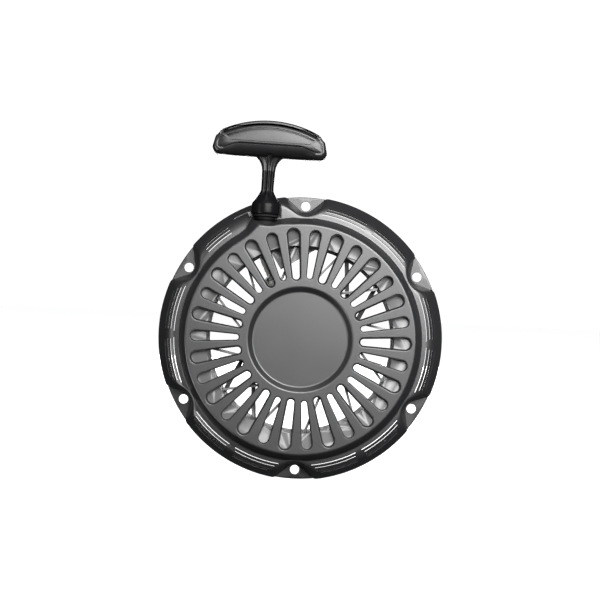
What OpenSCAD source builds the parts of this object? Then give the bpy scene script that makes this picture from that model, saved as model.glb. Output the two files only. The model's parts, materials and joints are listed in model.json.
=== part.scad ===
// Recoil (pull) starter for a single-cylinder engine.
// Working axes: Z is the spin axis and points at the front face, Y is roughly the pull direction,
// and Z = 0 is the mounting plane. upright() turns every finished piece so that the front face
// looks along -Y and the handle is at the top (+Z).

/* [Cover] */
// Diameter of the circle through the mounting holes
bolt_circle_d = 200; // [166:1:240]
// Mounting plane to the front face
cover_depth = 38; // [31:0.5:46]
// Thickness of the pressed sheet
sheet = 1.5; // [1:0.1:1.8]
// Diameter of the mounting holes
bolt_hole_d = 7; // [5:0.1:9]
// Number of mounting holes and scallops
bolt_count = 6; // [6]
// From the mounting holes out to the edge of the flange
edge_margin = 7; // [6:0.5:9]
// From the mounting holes in to the edge of the raised face
face_margin = 16; // [15:0.5:18]
// How far the shoulder lies below the front face
shoulder_drop = 12; // [9:0.5:14]
// How far the step from face to shoulder leans outwards
step_lean = 5.4; // [3:0.1:6]
// Rounding between the shoulder and the outer wall
shoulder_round = 10.6; // [8:0.2:12]
// Slope of the outer wall from the mounting plane
wall_slope = 70; // [66:1:78]
// Bottom radius of the scallop around each mounting hole
scallop_r = 7.2; // [6:0.1:8.5]
// Half angle between the sides of a scallop
scallop_half_angle = 50; // [40:1:60]

/* [Centre panel and slots] */
// Radius of the recessed centre panel at the face
panel_r = 38.2; // [34:0.2:40]
// Depth of the centre panel below the face
panel_recess = 3; // [2:0.2:4]
// Number of wide slots, and of narrow slots between them
slot_pairs = 15; // [9:1:16]
// Outer end radius of a wide slot
wide_slot_r = 5.45; // [4:0.05:5.8]
// Inner end radius of a wide slot
wide_slot_tip_r = 3.9; // [2.8:0.05:4]
// Depth of the turned-in lip around a wide slot
lip_depth = 2.5; // [1.5:0.1:3]
// Outer end radius of a narrow slot
narrow_slot_r = 4.6; // [3:0.05:5]
// Inner end radius of a narrow slot
narrow_slot_tip_r = 2.85; // [1.6:0.05:3]
// Width of a louvre slot in the shoulder
louvre_w = 1.4; // [1:0.1:1.6]

/* [Outlet and handle] */
// Sideways place of the rope outlet
outlet_x = -29.4; // [-32:0.1:-25]
// Lean of the pull direction
pull_tilt = 1.5; // [0:0.1:3]
// Overall width of the handle
handle_w = 84; // [72:1:100]
// Overall height of the handle, from its collar to its crown
handle_h = 68; // [60:0.5:80]
// Thickness of the handle from front to back
handle_t = 21; // [18:0.5:24]
// Height of the cross bar at its middle
bar_h = 26.5; // [22:0.5:30]
// Height of the cross bar at its ends
bar_end_h = 14.5; // [12:0.5:17]
// Diameter of the stem
stem_d = 9.6; // [9:0.1:12]
// Diameter of the collar
collar_d = 22; // [18:0.5:24]
// Diameter of the rope
rope_d = 4; // [3.5:0.1:4.8]

/* [Reel and spring] */
// Gap between the reel rim and the raised face, in plan
rim_margin = 0.5; // [0.4:0.1:2]
// Axial width of the reel rim
rim_w = 11.5; // [10:0.5:13]
// Radial depth of the rope groove
groove_depth = 14.5; // [13:0.5:15]
// Outer radius of the spring drum
drum_r = 42; // [38:0.5:44]
// Radius of the post that the reel turns on
post_r = 8; // [6:0.5:9]
// Radial clearance of each running fit
running_gap = 0.06; // [0.03:0.01:0.1]
// Thickness of the recoil spring strip
strip_t = 0.8; // [0.5:0.1:1]
// Number of turns of the recoil spring
spring_turns = 8; // [5:1:9]

/* [Ratchet] */
// Radius at which the pawls pivot
pawl_pivot_r = 24; // [22:0.5:26]
// Swing of a pawl
pawl_swing = 30; // [20:1:34]
// Turn of the guide plate that swings the pawls fully
guide_turn = 30; // [20:1:34]
// Thickness of a pawl
pawl_t = 6; // [4:0.5:6.5]
// Radius of the guide plate
guide_r = 31; // [30.5:0.5:33]
// Thread diameter of the centre screw
screw_d = 6; // [5:1:6]

/* [Hidden] */
$fn = 64;
black_paint = [0.12, 0.12, 0.13];
black_plastic = [0.08, 0.08, 0.09];
grey_plastic = [0.30, 0.30, 0.31];
steel = [0.62, 0.63, 0.65];
dark_steel = [0.30, 0.31, 0.33];
rope_colour = [0.55, 0.55, 0.53];
eps = 0.01;

// Cover
bolt_r = bolt_circle_d / 2;
flange_r = bolt_r + edge_margin;
face_r = bolt_r - face_margin;
shoulder_z = cover_depth - shoulder_drop;
shoulder_r = face_r + step_lean;
round_z = shoulder_z - shoulder_round;
face_under = cover_depth - sheet;
panel_z = cover_depth - panel_recess;
panel_under = panel_z - sheet;
panel_lean = 0.73;
scallop_gap = 3;
scallop_centre_r = bolt_r + scallop_gap;

// Slots, measured along the radius
slot_end_gap = 2;
slot_tip_gap = 4.6;
slot_far = face_r - slot_end_gap;
slot_near = panel_r + slot_tip_gap;
slot_step = 360 / slot_pairs;

// Louvres: each row is an angle round the shoulder's rounding and a half span
louvre_rows = [for (i = [0:3]) [13 + 15 * i, 22.5 - 1.33 * i]];
louvre_gap = [for (i = [0:3]) 1.8 + 0.23 * i];
louvre_sectors = [0, 1, 2, 3, 4];
lone_louvre = [5, 19];

// Rope groove, rim and drum
rim_front = face_under - 3;
rim_back = rim_front - rim_w;
rope_z = (rim_front + rim_back) / 2;
rim_flange = 1.6;
reel_r = face_r - rim_margin;
groove_r = reel_r - groove_depth;
rim_wall = 2.1;
rim_draft = 2;
window_r = groove_r - rim_wall;
web_t = 3;
web_front = rim_back - 2;
web_back = web_front - web_t;
drum_wall = 3.5;
drum_front = panel_under - 2.5;
rib_t = 1.8;
rib_back = web_front + 1;
rib_front = drum_front - 1;

// Centre post and hub, stacked from the centre panel towards the engine
post_flange_t = 2;
post_flange_r = 13;
arbor_r = post_r + 2;
washer_t = 0.8;
washer_gap = 0.1;
arbor_back = web_front + washer_t + 2 * washer_gap;
hub_r = 13;
hub_len = 7.5;
hub_back = web_back - hub_len;
post_end = hub_back - 0.5;
spigot_r = 5;
guide_t = 1.5;
guide_front = post_end - 2.4;
guide_back = guide_front - guide_t;
spigot_end = guide_back - 0.1;
seat_t = 1;
seat_back = spigot_end - seat_t;
head_h = 3.2;
head_af = 10;
thread_len = 14;

// Spring drum
cover_t = 0.8;
strip_gap = 0.9;
strip_front = drum_front - 0.5;
strip_back = web_front + strip_gap;
strip_start = arbor_r + 0.6;
strip_end = drum_r - drum_wall - 0.6 - strip_t;
strip_steps = spring_turns * 20;
cover_screw_r = 1.2;
cover_screw_circle = drum_r - drum_wall / 2;

// Ratchet
pawl_pin_r = 3.5;
pawl_front = web_back - 2.2;
pawl_back = pawl_front - pawl_t;
pawl_boss_r = 6.2;
pawl_tip = [-4, -20];
peg_at = [-2, -7];
peg_r = 1.3;
peg_clear = 0.3;
pawl_wire = 0.5;
pawl_coil_r = pawl_pin_r + 0.9;
pawl_coil_pitch = pawl_wire + 0.1;
brake_wire = 0.9;
brake_coil_r = post_r + 1;
brake_turns = 1.5;

// Outlet, in a frame of its own: X across, Y along the pull, origin on the outlet's end wall
outlet_reach = 5;
outlet_y = face_r + outlet_reach;
outlet_shape = [[-17, -21], [-14.5, -9.5], [-9.5, 3], [10, 3], [15.5, -9], [15.5, -21]];
seat_gap = 1.2;
seat_w = collar_d + 2 * seat_gap;
seat_floor = rope_z - collar_d / 2 - seat_gap;
guide_hole_r = 7;
guide_bore_r = rope_d / 2 + 0.35;
guide_flange_t = 1.5;
guide_flange_r = 9.5;
guide_len = 7;
clip_t = 1;

// Handle, in the outlet's frame
rest_gap = 0.3;
collar_y = guide_flange_t + rest_gap;
collar_h = 8.4;
cone_h = 8.7;
bar_y = collar_y + handle_h - bar_h;
crown_y = collar_y + handle_h;
cap_h = 6;
cap_inset = 9;
handle_sag = bar_h - bar_end_h;
handle_arch_r = (pow(handle_w / 2, 2) + handle_sag * handle_sag) / (2 * handle_sag);
cap_arch_r = handle_arch_r - cap_h;
seat_y = bar_y + 7;
pocket_r = 7.5;
knot_r = 5.2;

// Rope: wound in a flat spiral, from the knot cup out to the outlet
rope_pitch = rope_d + 0.1;
first_layer_r = groove_r + rope_d / 2 + 0.1;
outer_layer_r = first_layer_r + 2 * rope_pitch;
outlet_dist = norm([outlet_x, outlet_y - 6]);
outlet_angle = atan2(outlet_y - 6, outlet_x);
leave_angle = outlet_angle + acos(outer_layer_r / outlet_dist);
knot_angle = 118;
rope_sweep = 720 + knot_angle - leave_angle;
knot_cup_r = 5.6;
cup_wall = 1.2;
knot_dist = drum_r - drum_wall + knot_cup_r + cup_wall + 0.4;
reel_knot_r = knot_cup_r - 0.6;
rope_clear = 0.6;
coil_steps = 72;
lead_gap = 0.25;

module upright() rotate([90, 0, 0]) children();

module at_outlet() translate([outlet_x, outlet_y, rope_z]) rotate(-pull_tilt) children();

// Turns a piece of revolution so that its axis runs along the pull
module along_pull() rotate([-90, 0, 0]) children();

function arc(c, r, from, to, steps) =
    [for (i = [0:steps]) let (a = from + (to - from) * i / steps) c + r * [cos(a), sin(a)]];

function unit(v) = v / norm(v);

// Moves each side of a convex outline, listed clockwise, inwards by d
function inset(points, d) = [for (i = [0:len(points) - 1])
    let (
        n = len(points),
        before = unit(points[i] - points[(i + n - 1) % n]),
        after = unit(points[(i + 1) % n] - points[i]),
        turn = before + after,
        middle = unit([turn.y, -turn.x])
    ) points[i] + middle * d / (middle * [after.y, -after.x])];

// Tube of the given radius along a list of 3D points, with flat ends
module tube(path, r, sides = 8) {
    n = len(path);
    function ahead(i) = unit(path[min(i + 1, n - 1)] - path[max(i - 1, 0)]);
    function across(i) = unit(cross(ahead(i), [0, 0, 1]));
    rings = [for (i = [0:n - 1], k = [0:sides - 1])
        let (a = 360 * k / sides, s = across(i), u = cross(s, ahead(i)))
        path[i] + r * (cos(a) * s + sin(a) * u)];
    walls = [for (i = [0:n - 2], k = [0:sides - 1])
        let (m = (k + 1) % sides, b = i * sides)
        each [[b + k, b + sides + k, b + m], [b + m, b + sides + k, b + sides + m]]];
    ends = [[for (k = [0:sides - 1]) k], [for (k = [sides - 1:-1:0]) (n - 1) * sides + k]];
    polyhedron(rings, concat(walls, ends), convexity = 8);
}

// Outline of the cover in section, with its surface moved inwards by g
function cover_section(g) =
    let (
        lean = step_lean / shoulder_drop,
        side = g * sqrt(1 + lean * lean),
        dip = g * sqrt(1 + panel_lean * panel_lean),
        low = g > 0 ? -1 : 0,
        r = shoulder_round - g,
        foot = arc([shoulder_r, round_z], r, 90, 90 - wall_slope, 5),
        last = foot[5]
    ) concat(
        [[0, low], [0, panel_z - g],
         [panel_r - (panel_recess + g) * panel_lean + dip, panel_z - g],
         [panel_r - g * panel_lean + dip, cover_depth - g],
         [face_r + g * lean - side, cover_depth - g],
         [shoulder_r + g * lean - side, shoulder_z - g]],
        foot,
        [[last.x + (last.y - low) / tan(wall_slope), low]]
    );

// Plan of a scallop, grown by g: a round bottom and two straight sides
module scallop(g) {
    side = scallop_half_angle + 90;
    reach = 30 * [cos(scallop_half_angle), sin(scallop_half_angle)];
    bottom = arc([scallop_centre_r, 0], scallop_r + g, side, 360 - side, 8);
    polygon(concat([bottom[0] + reach], bottom, [[bottom[8].x + reach.x, bottom[8].y - reach.y]]));
}

module each_ear() for (i = [0:bolt_count - 1]) rotate(90 + i * 360 / bolt_count) children();

// Solid form of the cover, with its surface moved inwards by g
module cover_form(g) {
    low = g > 0 ? -1 : 0;
    difference() {
        union() {
            rotate_extrude() polygon(cover_section(g));
            translate([outlet_x, outlet_y, low]) rotate(-pull_tilt)
                linear_extrude(cover_depth - g - low) polygon(inset(outlet_shape, g));
        }
        translate([0, 0, g > 0 ? -2 : sheet]) each_ear()
            linear_extrude(cover_depth + 3) scallop(g);
        translate([outlet_x, outlet_y, seat_floor - g]) rotate(-pull_tilt)
            translate([-seat_w / 2 - g, -g, 0]) cube([seat_w + 2 * g, 40, cover_depth]);
    }
}

// Plan of a slot between two end circles on the radius
module slot(far, near, far_r, near_r) {
    a = acos((far_r - near_r) / (far - near));
    polygon(concat(arc([far, 0], far_r, -a, a, 8), arc([near, 0], near_r, a, 360 - a, 8)));
}

module wide_slot(inward) slot(slot_far - wide_slot_r, slot_near + wide_slot_tip_r,
    wide_slot_r - inward, wide_slot_tip_r - inward);

module narrow_slot() slot(slot_far - 1 - narrow_slot_r, slot_near + 1.2 + narrow_slot_tip_r,
    narrow_slot_r, narrow_slot_tip_r);

module each_wide() for (i = [0:slot_pairs - 1]) rotate(i * slot_step) children();

// One louvre slot: a band cut square through the rounding
module louvre(row, from, to) {
    a = 90 - louvre_rows[row][0];
    rotate(from) rotate_extrude(angle = to - from)
        translate([shoulder_r, round_z]) rotate(a)
            translate([shoulder_round - sheet - 1, -louvre_w / 2]) square([sheet + 2, louvre_w]);
}

module louvres() for (row = [0:3]) {
    span = louvre_rows[row][1];
    gap = louvre_gap[row];
    for (i = louvre_sectors, s = [-1, 1])
        rotate(180 + 60 * i) louvre(row, s > 0 ? gap : -span, s > 0 ? span : -gap);
    rotate(120) louvre(row, lone_louvre[0] + row / 4, lone_louvre[1] - row / 2);
}

module housing() color(black_paint) upright() difference() {
    union() {
        difference() {
            union() {
                cover_form(0);
                cylinder(r = flange_r, h = sheet, $fn = 96);
            }
            cover_form(sheet);
        }
        translate([0, 0, face_under - lip_depth]) each_wide()
            linear_extrude(lip_depth + sheet / 2) wide_slot(0);
    }
    each_wide() translate([0, 0, panel_z - 4]) linear_extrude(cover_depth) wide_slot(sheet);
    rotate(slot_step / 2) each_wide() translate([0, 0, panel_z - 3])
        linear_extrude(cover_depth) narrow_slot();
    louvres();
    each_ear() translate([bolt_r, 0, -1]) cylinder(d = bolt_hole_d, h = sheet + 2);
    at_outlet() along_pull() translate([0, 0, -sheet - 4]) cylinder(r = guide_hole_r, h = 6);
}

module centre_post() color(steel) upright() difference() {
    union() {
        translate([0, 0, panel_under - post_flange_t]) cylinder(r = post_flange_r, h = post_flange_t);
        translate([0, 0, arbor_back]) cylinder(r = arbor_r, h = panel_under - eps - arbor_back);
        translate([0, 0, post_end]) cylinder(r = post_r, h = panel_under - 1 - post_end);
        translate([0, 0, spigot_end]) cylinder(r = spigot_r, h = panel_under - 1 - spigot_end);
    }
    translate([0, 0, spigot_end - 1]) cylinder(d = screw_d, h = thread_len + 1);
    translate([-0.4, -arbor_r - 1, arbor_back - 1])
        cube([strip_t + 0.8, 2.8, strip_front - arbor_back + 1]);
}

module rope_guide() color(black_plastic) upright() at_outlet() along_pull() difference() {
    union() {
        cylinder(r = guide_flange_r, h = guide_flange_t);
        translate([0, 0, -guide_len]) cylinder(r = guide_hole_r - 0.1, h = guide_len + eps);
    }
    translate([0, 0, -guide_len - 1]) cylinder(r = guide_bore_r, h = guide_len + 4);
    translate([0, 0, -guide_len - eps]) cylinder(r1 = guide_hole_r - 1.2, r2 = guide_bore_r, h = 3.5);
}

module guide_clip() color(steel) upright() at_outlet() along_pull()
    translate([0, 0, -sheet - clip_t - 0.1]) difference() {
        cylinder(r = guide_hole_r + 1.8, h = clip_t);
        translate([0, 0, -1]) cylinder(r = guide_hole_r - 0.08, h = clip_t + 2);
        translate([-1, 0, -1]) cube([2, guide_hole_r + 3, clip_t + 2]);
    }

// A straight bar of the reel, from drum to rim, whose middle line passes the axis at `offset`
module bar(normal, offset, side, width, low, high) {
    from = sqrt(pow(drum_r - 1, 2) - offset * offset);
    to = sqrt(pow(window_r + 1, 2) - offset * offset);
    rotate(normal) translate([offset - width / 2, side > 0 ? from : -to, low])
        cube([width, to - from, high - low]);
}

module reel_rim() rotate_extrude($fn = 96) polygon([
    [window_r, rim_back], [reel_r, rim_back], [reel_r, rim_back + rim_flange],
    [groove_r, rim_back + rim_flange], [groove_r, rim_front - rim_flange],
    [reel_r, rim_front - rim_flange], [reel_r, rim_front], [window_r + rim_draft, rim_front]]);

module reel_ribs() for (i = [0:5]) rotate(60 * i) {
    bar(137.7, 22.8, -1, rib_t, rib_back, rib_front);
    bar(99.1, 30, -1, rib_t, rib_back, rib_front);
}

module reel_bands() for (i = [0, 180]) rotate(i) {
    bar(3.2, 35.2, 1, 3.2, web_back, rim_back + 1);
    bar(-26.8, 30.1, 1, 3.2, web_back, rim_back + 1);
}

// Flat plate that stiffens the rim beside the knot cup
module reel_gusset() intersection() {
    translate([0, 0, rib_back]) cylinder(r = window_r + 1, h = 3);
    rotate(knot_angle - 10) translate([window_r - 13.5, 0, rib_back]) rotate(14)
        linear_extrude(3) polygon([[0, 0], [0, -45], [40, -45], [40, 0]]);
}

// Place on the rope's centre line in the reel, by radius and by angle back from the knot
function rope_place(r, turn) = [r * cos(knot_angle - turn), r * sin(knot_angle - turn), rope_z];

function coil_place(i) = rope_place(
    first_layer_r + (outer_layer_r - first_layer_r) * i / coil_steps,
    rope_sweep * i / coil_steps);

// The rope's tail, from the knot cup out to the groove
tail = [rope_place(knot_dist + 3, 0), rope_place(knot_dist + 10, 0),
    rope_place(groove_r - 5.5, 0.2), rope_place(groove_r - 1.5, 1), rope_place(groove_r + 0.8, 3)];

// A point at distance d beside a place on a path
function beside(places, i, d) =
    let (along = unit(places[min(i + 1, len(places) - 1)] - places[max(i - 1, 0)]))
    [places[i].x - d * along.y, places[i].y + d * along.x];

// Clear way for the tail, which slants out through the groove's floor
module rope_way() {
    places = concat(tail, [coil_place(1)]);
    last = len(places) - 1;
    reach = rope_d / 2 + rope_clear;
    translate([0, 0, rope_z - reach]) linear_extrude(2 * reach) polygon(concat(
        [for (i = [0:last]) beside(places, i, reach)],
        [for (i = [last:-1:0]) beside(places, i, -reach)]));
}

module knot_cup() rotate(knot_angle) translate([knot_dist, 0, web_front - 1])
    cylinder(r = knot_cup_r + cup_wall, h = drum_front - web_front + 1);

module reel() color(grey_plastic) upright() difference() {
    union() {
        reel_rim();
        reel_ribs();
        reel_bands();
        reel_gusset();
        knot_cup();
        translate([0, 0, web_back]) cylinder(r = drum_r, h = drum_front - web_back);
        translate([0, 0, hub_back]) cylinder(r = hub_r, h = hub_len + 1);
        for (i = [0, 180]) rotate(i) translate([pawl_pivot_r, 0, pawl_back + 0.4])
            cylinder(r = pawl_pin_r, h = web_back - pawl_back);
    }
    translate([0, 0, web_front]) cylinder(r = drum_r - drum_wall, h = drum_front);
    rotate(knot_angle) translate([knot_dist, 0, web_front + 1]) cylinder(r = knot_cup_r, h = drum_front);
    rope_way();
    translate([0, 0, hub_back - 1]) cylinder(r = post_r + running_gap, h = web_front);
    for (i = [0:2]) rotate(30 + 120 * i) translate([cover_screw_circle, 0, drum_front - 6])
        cylinder(r = cover_screw_r - 0.2, h = 8);
}

module spring_cover() color(dark_steel) upright() translate([0, 0, drum_front]) difference() {
    cylinder(r = drum_r - 0.2, h = cover_t);
    translate([0, 0, -1]) cylinder(r = post_flange_r + 1, h = cover_t + 2);
    for (i = [0:2]) rotate(30 + 120 * i) translate([cover_screw_circle, 0, -1])
        cylinder(r = cover_screw_r + 0.15, h = cover_t + 2);
    rotate(knot_angle) translate([knot_dist, 0, -1]) cylinder(r = knot_cup_r, h = cover_t + 2);
}

module cover_screws() color(steel) upright() for (i = [0:2]) rotate(30 + 120 * i)
    translate([cover_screw_circle, 0, drum_front + cover_t]) difference() {
        union() {
            translate([0, 0, -5.5]) cylinder(r = cover_screw_r - 0.2, h = 5.6, $fn = 24);
            cylinder(r = 2.2, h = 1.2, $fn = 24);
        }
        translate([0, 0, 0.6]) cylinder(r = 0.9, h = 1, $fn = 4);
    }

// Flat strip wound in a spiral from the arbor to the drum
function strip_place(i, extra) = let (a = 18 * i - 90)
    (strip_start + (strip_end - strip_start) * i / strip_steps + extra) * [cos(a), sin(a)];

module recoil_spring() color(steel) upright() translate([0, 0, strip_back])
    linear_extrude(strip_front - strip_back) polygon(concat(
        [[0, -strip_start + 1.5], [strip_t, -strip_start + 1.5], [strip_t, -strip_start]],
        [for (i = [1:strip_steps]) strip_place(i, 0)],
        [for (i = [strip_steps:-1:0]) strip_place(i, strip_t)]));

module thrust_washer() color(black_plastic) upright() translate([0, 0, web_front + washer_gap])
    difference() {
        cylinder(r = arbor_r + 2, h = washer_t);
        translate([0, 0, -1]) cylinder(r = post_r + 0.15, h = washer_t + 2);
    }

// A pawl in its own place, drawn with its pivot at the origin
module pawl_shape() difference() {
    union() {
        linear_extrude(pawl_t) union() {
            circle(pawl_boss_r);
            polygon([[-pawl_boss_r + 0.3, 0], pawl_tip + [-3.5, 4.5], pawl_tip + [-1.5, 0.3],
                pawl_tip + [1.6, 0], [pawl_boss_r - 0.3, -1]]);
        }
        translate(peg_at) mirror([0, 0, 1])
            cylinder(r = peg_r, h = pawl_back - guide_back - 0.2);
    }
    translate([0, 0, -1]) cylinder(r = pawl_pin_r + running_gap, h = pawl_t + 2);
}

module pawl(turn) color(steel) upright() rotate(turn) translate([pawl_pivot_r, 0, pawl_back])
    pawl_shape();

// Torsion spring round a pawl's pin: two coils and two legs
module pawl_spring(turn) color(steel) upright() rotate(turn)
    translate([pawl_pivot_r, 0, pawl_front + pawl_wire]) {
        steps = 24;
        leg = 7;
        rise = 2 * pawl_coil_pitch;
        tube(concat(
            [[pawl_coil_r, leg, 0]],
            [for (i = [0:steps]) let (a = 720 * i / steps)
                [pawl_coil_r * cos(a), -pawl_coil_r * sin(a), rise * i / steps]],
            [[pawl_coil_r, -leg, rise]]), pawl_wire / 2, 8);
    }

// Coil spring that presses the guide plate towards the screw
module brake_spring() color(steel) upright() {
    steps = 30;
    height = hub_back - guide_front - brake_wire - 0.3;
    tube([for (i = [0:steps]) let (a = 360 * brake_turns * i / steps) [
        brake_coil_r * cos(a), brake_coil_r * sin(a),
        guide_front + brake_wire / 2 + 0.15 + height * i / steps]],
        brake_wire / 2, 8);
}

// Centre line of the cam slot: the peg's places seen from the guide plate
function peg_place(swing) =
    let (
        p = [pawl_pivot_r + peg_at.x * cos(swing) - peg_at.y * sin(swing),
             peg_at.x * sin(swing) + peg_at.y * cos(swing)],
        back = -swing * guide_turn / pawl_swing
    ) [p.x * cos(back) - p.y * sin(back), p.x * sin(back) + p.y * cos(back)];

function cam_side(s, reach) = [for (i = [0:7])
    let (
        swing = pawl_swing * i / 7,
        along = unit(peg_place(swing + 1) - peg_place(swing - 1))
    ) peg_place(swing) + s * reach * [-along.y, along.x]];

module cam_slot(reach) {
    side = cam_side(1, reach);
    other = cam_side(-1, reach);
    polygon(concat(side, [for (i = [7:-1:0]) other[i]]));
    translate(peg_place(0)) circle(reach);
    translate(peg_place(pawl_swing)) circle(reach);
}

module ratchet_guide() color(steel) upright() translate([0, 0, guide_back]) difference() {
    union() {
        cylinder(r = guide_r, h = guide_t);
        translate([0, 0, 0.1]) cylinder(r = spigot_r + 2, h = guide_t + 0.3);
    }
    translate([0, 0, -1]) cylinder(r = spigot_r + running_gap, h = guide_t + 3);
    translate([0, 0, -1]) linear_extrude(guide_t + 3) for (i = [0, 180]) rotate(i)
        cam_slot(peg_r + peg_clear);
}

module screw_washer() color(steel) upright() translate([0, 0, seat_back]) difference() {
    cylinder(r = spigot_r + 4, h = seat_t);
    translate([0, 0, -1]) cylinder(d = screw_d + 0.4, h = seat_t + 2);
}

module centre_screw() color(steel) upright() difference() {
    union() {
        translate([0, 0, seat_back - head_h]) cylinder(d = head_af / cos(30), h = head_h, $fn = 6);
        translate([0, 0, seat_back - 1]) cylinder(r = 6.2, h = 1);
        translate([0, 0, seat_back - 0.5]) cylinder(d = screw_d - 0.2, h = thread_len - 1);
    }
    translate([0, 0, seat_back - head_h - 1]) cylinder(r = 3, h = 1.4);
}

// Turns of rope in the groove, and the tail that runs in to the knot cup
module rope_coil() color(rope_colour) upright()
    tube(concat(tail, [for (i = [1:coil_steps]) coil_place(i)]), rope_d / 2, 8);

// Rope from the reel through the guide and up the stem to the handle's knot
module rope_lead() color(rope_colour) upright() {
    off = outer_layer_r * [cos(leave_angle), sin(leave_angle)];
    from = off + lead_gap * unit([off.y, -off.x]);
    pull = [sin(pull_tilt), cos(pull_tilt)];
    out = [outlet_x, outlet_y];
    points = [
        [from.x, from.y, rope_z],
        [from.x * 0.6 + (out.x - 8) * 0.4, from.y * 0.6 + (out.y - 14.2) * 0.4, rope_z],
        [out.x - 8, out.y - 14.2, rope_z],
        [out.x - 4.2, out.y - 10, rope_z],
        [out.x - 1.4, out.y - 6, rope_z],
        [out.x - 0.15, out.y - 2.5, rope_z]
    ];
    run = [for (s = [0:6:seat_y - 0.5]) [out.x + s * pull.x, out.y + s * pull.y, rope_z]];
    last = [out.x + (seat_y - 0.6) * pull.x, out.y + (seat_y - 0.6) * pull.y, rope_z];
    tube(concat(points, run, [last]), rope_d / 2, 8);
}

// Overhand knot: a closed ring of rope with its end through the middle
module knot(size) {
    rotate_extrude($fn = 32) translate([size - rope_d / 2, 0]) circle(rope_d / 2, $fn = 24);
    sphere(size * 0.62, $fn = 32);
}

module reel_knot() color(rope_colour) upright() rotate(knot_angle)
    translate([knot_dist, 0, rope_z - 1.2]) knot(reel_knot_r);

// Outline of the cross bar in the handle's plane, its underside at y = 0
function bar_outline() =
    let (
        half = handle_w / 2,
        reach = asin((half - 3) / handle_arch_r),
        low = 6
    ) concat(
        arc([half - low, low], low, -90, 0, 5),
        arc([0, bar_h - handle_arch_r], handle_arch_r, 90 - reach, 90 + reach, 12),
        arc([low - half, low], low, 180, 270, 5)
    );

module bar_body() translate([0, bar_y, -handle_t / 2]) linear_extrude(handle_t)
    polygon(bar_outline());

// Space that the cap fills, grown by g
module cap_space(g) translate([0, 0, -handle_t / 2 - 1]) linear_extrude(handle_t + 2)
    difference() {
        translate([-handle_w / 2 + cap_inset - g, bar_y])
            square([handle_w - 2 * cap_inset + 2 * g, bar_h + 1]);
        translate([0, crown_y - cap_h - cap_arch_r]) circle(cap_arch_r - g, $fn = 96);
    }

module grip_body() color(black_plastic) upright() at_outlet() difference() {
    union() {
        difference() {
            bar_body();
            cap_space(0.05);
        }
        along_pull() {
            translate([0, 0, collar_y]) cylinder(d = collar_d, h = collar_h);
            translate([0, 0, collar_y + collar_h]) cylinder(d1 = collar_d, d2 = stem_d, h = cone_h);
            translate([0, 0, collar_y + collar_h])
                cylinder(d = stem_d, h = bar_y - collar_y - collar_h + 5);
            translate([0, 0, bar_y - 9]) cylinder(d1 = stem_d - 0.2, d2 = handle_t - 2, h = 9.5);
        }
    }
    along_pull() {
        translate([0, 0, -1]) cylinder(d = rope_d + 0.7, h = crown_y);
        translate([0, 0, seat_y]) cylinder(r = pocket_r, h = crown_y);
    }
}

module grip_cap() color(black_plastic) upright() at_outlet() intersection() {
    bar_body();
    cap_space(0);
}

module grip_washer() color(steel) upright() at_outlet() along_pull()
    translate([0, 0, seat_y + 0.02]) difference() {
        cylinder(r = pocket_r - 0.4, h = 1.2);
        translate([0, 0, -1]) cylinder(d = rope_d + 0.7, h = 4);
    }

module grip_knot() color(rope_colour) upright() at_outlet() along_pull()
    translate([0, 0, seat_y + 1.3 + rope_d / 2]) knot(knot_r);

housing();
centre_post();
rope_guide();
guide_clip();
reel();
spring_cover();
cover_screws();
recoil_spring();
thrust_washer();
pawl(180);  // pawl_left
pawl(0);  // pawl_right
pawl_spring(180);  // pawl_spring_left
pawl_spring(0);  // pawl_spring_right
brake_spring();
ratchet_guide();
screw_washer();
centre_screw();
rope_coil();
rope_lead();
reel_knot();
grip_body();
grip_cap();
grip_washer();
grip_knot();
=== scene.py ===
import json
import math

import bmesh
import bpy
from mathutils import Matrix, Vector


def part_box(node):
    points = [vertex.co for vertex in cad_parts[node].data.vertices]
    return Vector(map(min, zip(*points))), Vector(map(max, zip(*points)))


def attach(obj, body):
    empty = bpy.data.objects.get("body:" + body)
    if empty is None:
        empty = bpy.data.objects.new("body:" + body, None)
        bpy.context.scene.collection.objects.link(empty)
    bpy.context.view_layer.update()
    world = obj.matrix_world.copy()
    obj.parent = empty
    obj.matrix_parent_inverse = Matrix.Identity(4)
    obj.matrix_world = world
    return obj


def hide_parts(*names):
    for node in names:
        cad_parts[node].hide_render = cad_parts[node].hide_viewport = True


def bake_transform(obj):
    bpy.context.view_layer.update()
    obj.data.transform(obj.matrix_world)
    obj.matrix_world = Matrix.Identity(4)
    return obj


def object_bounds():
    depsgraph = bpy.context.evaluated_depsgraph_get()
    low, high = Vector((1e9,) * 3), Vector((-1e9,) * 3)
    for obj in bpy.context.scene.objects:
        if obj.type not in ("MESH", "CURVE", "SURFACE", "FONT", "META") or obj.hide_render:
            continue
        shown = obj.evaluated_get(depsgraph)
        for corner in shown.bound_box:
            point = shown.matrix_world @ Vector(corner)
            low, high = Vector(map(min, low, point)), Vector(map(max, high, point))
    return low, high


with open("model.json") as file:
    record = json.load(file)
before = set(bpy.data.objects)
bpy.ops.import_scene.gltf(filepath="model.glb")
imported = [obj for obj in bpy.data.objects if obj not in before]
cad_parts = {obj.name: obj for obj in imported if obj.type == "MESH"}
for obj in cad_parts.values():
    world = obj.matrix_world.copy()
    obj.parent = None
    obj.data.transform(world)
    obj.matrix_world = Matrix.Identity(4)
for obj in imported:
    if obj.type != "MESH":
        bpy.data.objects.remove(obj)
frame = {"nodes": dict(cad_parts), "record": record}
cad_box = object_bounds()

# ---------------------------------------------------------------------------------------------
# Camera and studio. The starter is seen square on from its slotted face and rolled slightly, with
# a large soft key light in front of it, weaker lights at its left, above and behind, and a pale,
# even stage.

scene = bpy.context.scene
scene.view_settings.view_transform = "Standard"

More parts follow.
